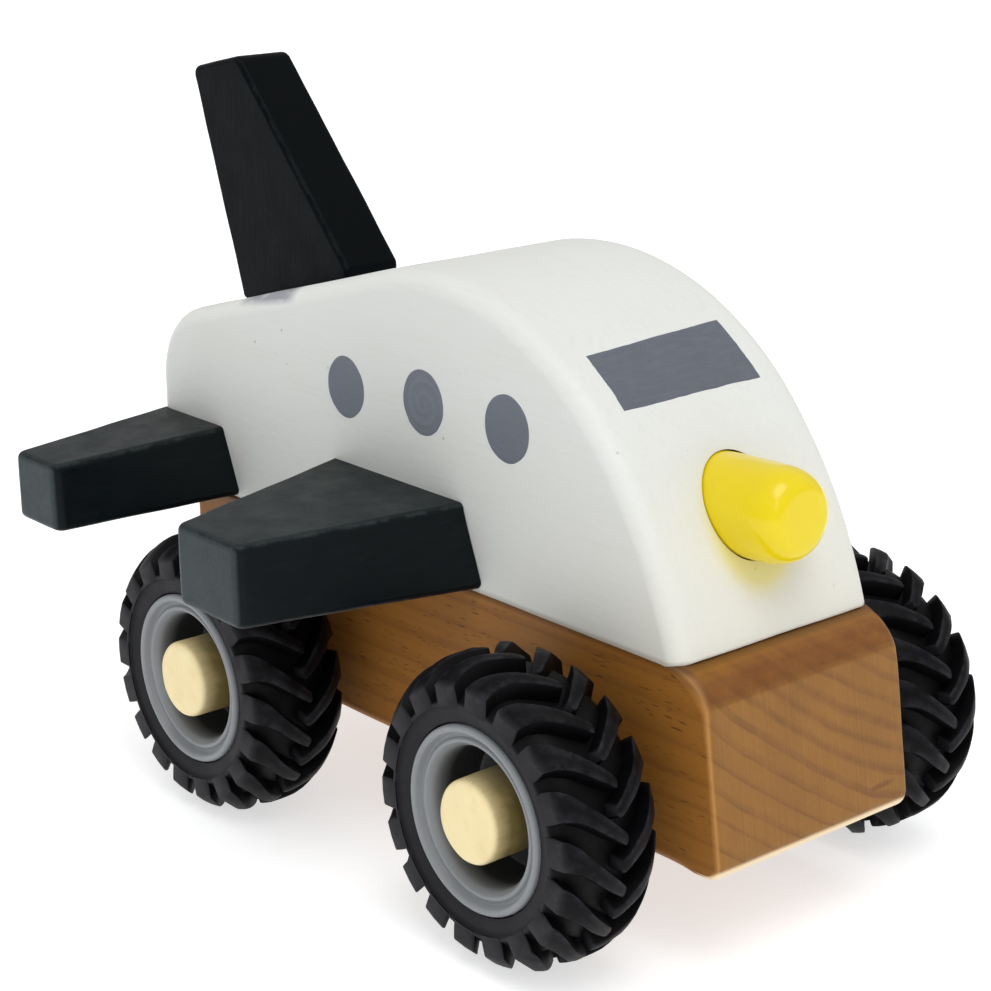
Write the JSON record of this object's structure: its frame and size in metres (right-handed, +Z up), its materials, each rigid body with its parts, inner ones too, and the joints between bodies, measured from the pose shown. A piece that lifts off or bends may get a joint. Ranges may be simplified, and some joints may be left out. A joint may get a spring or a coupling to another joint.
{
  "type": "toy airplane",
  "caption": "Chunky wooden toy airplane: beech chassis, white fuselage, dark wings, tail and fin, yellow nose peg, and free-turning treaded wheels.",
  "frame": {"origin": "on the ground under the tyres, in the middle of the bounding box seen from above", "axes": "+X to the nose, +Y to the airplane's left side, +Z up"},
  "size_m": [0.146, 0.1156, 0.1175],
  "materials": {
    "beech": "oiled, bare beech with short dark flecks",
    "white_paint": "satin off-white paint on wood",
    "charcoal_paint": "satin blue-black paint on wood",
    "yellow_paint": "gloss yellow paint on a wooden peg",
    "window_paint": "hand-painted satin grey-violet marks",
    "dowel_wood": "plain dowel, hidden",
    "pale_wood": "plain pale wood, lightly sanded",
    "grey_plastic": "moulded mid-grey plastic",
    "tyre": "soft black rubber, satin"
  },
  "bodies": {
    "airframe": {"chassis": "beech", "fuselage": "white_paint", "nose_peg": "yellow_paint", "wing_right": "charcoal_paint", "wing_left": "charcoal_paint", "tailplane_right": "charcoal_paint", "tailplane_left": "charcoal_paint", "tail_fin": "charcoal_paint", "body_dowels": "dowel_wood", "wing_dowels_right": "dowel_wood", "wing_dowels_left": "dowel_wood", "tailplane_dowels_right": "dowel_wood", "tailplane_dowels_left": "dowel_wood", "fin_dowels": "dowel_wood", "window_marks_right": "window_paint", "window_marks_left": "window_paint", "windshield_mark": "window_paint", "axle_peg_front_right": "pale_wood", "axle_peg_front_left": "pale_wood", "axle_peg_rear_right": "pale_wood", "axle_peg_rear_left": "pale_wood"},
    "wheel_front_right": {"rim_front_right": "grey_plastic", "tyre_front_right": "tyre"},
    "wheel_front_left": {"rim_front_left": "grey_plastic", "tyre_front_left": "tyre"},
    "wheel_rear_right": {"rim_rear_right": "grey_plastic", "tyre_rear_right": "tyre"},
    "wheel_rear_left": {"rim_rear_left": "grey_plastic", "tyre_rear_left": "tyre"}
  },
  "joints": [
    {"name": "wheel_front_right_spin", "type": "hinge", "parent": "airframe", "child": "wheel_front_right", "pos_m": [0.04622, -0.0344, 0.0233], "axis": [0, 1, 0], "continuous": true},
    {"name": "wheel_front_left_spin", "type": "hinge", "parent": "airframe", "child": "wheel_front_left", "pos_m": [0.04622, 0.0344, 0.0233], "axis": [0, 1, 0], "continuous": true},
    {"name": "wheel_rear_right_spin", "type": "hinge", "parent": "airframe", "child": "wheel_rear_right", "pos_m": [-0.02628, -0.0344, 0.0233], "axis": [0, 1, 0], "continuous": true},
    {"name": "wheel_rear_left_spin", "type": "hinge", "parent": "airframe", "child": "wheel_rear_left", "pos_m": [-0.02628, 0.0344, 0.0233], "axis": [0, 1, 0], "continuous": true}
  ]
}
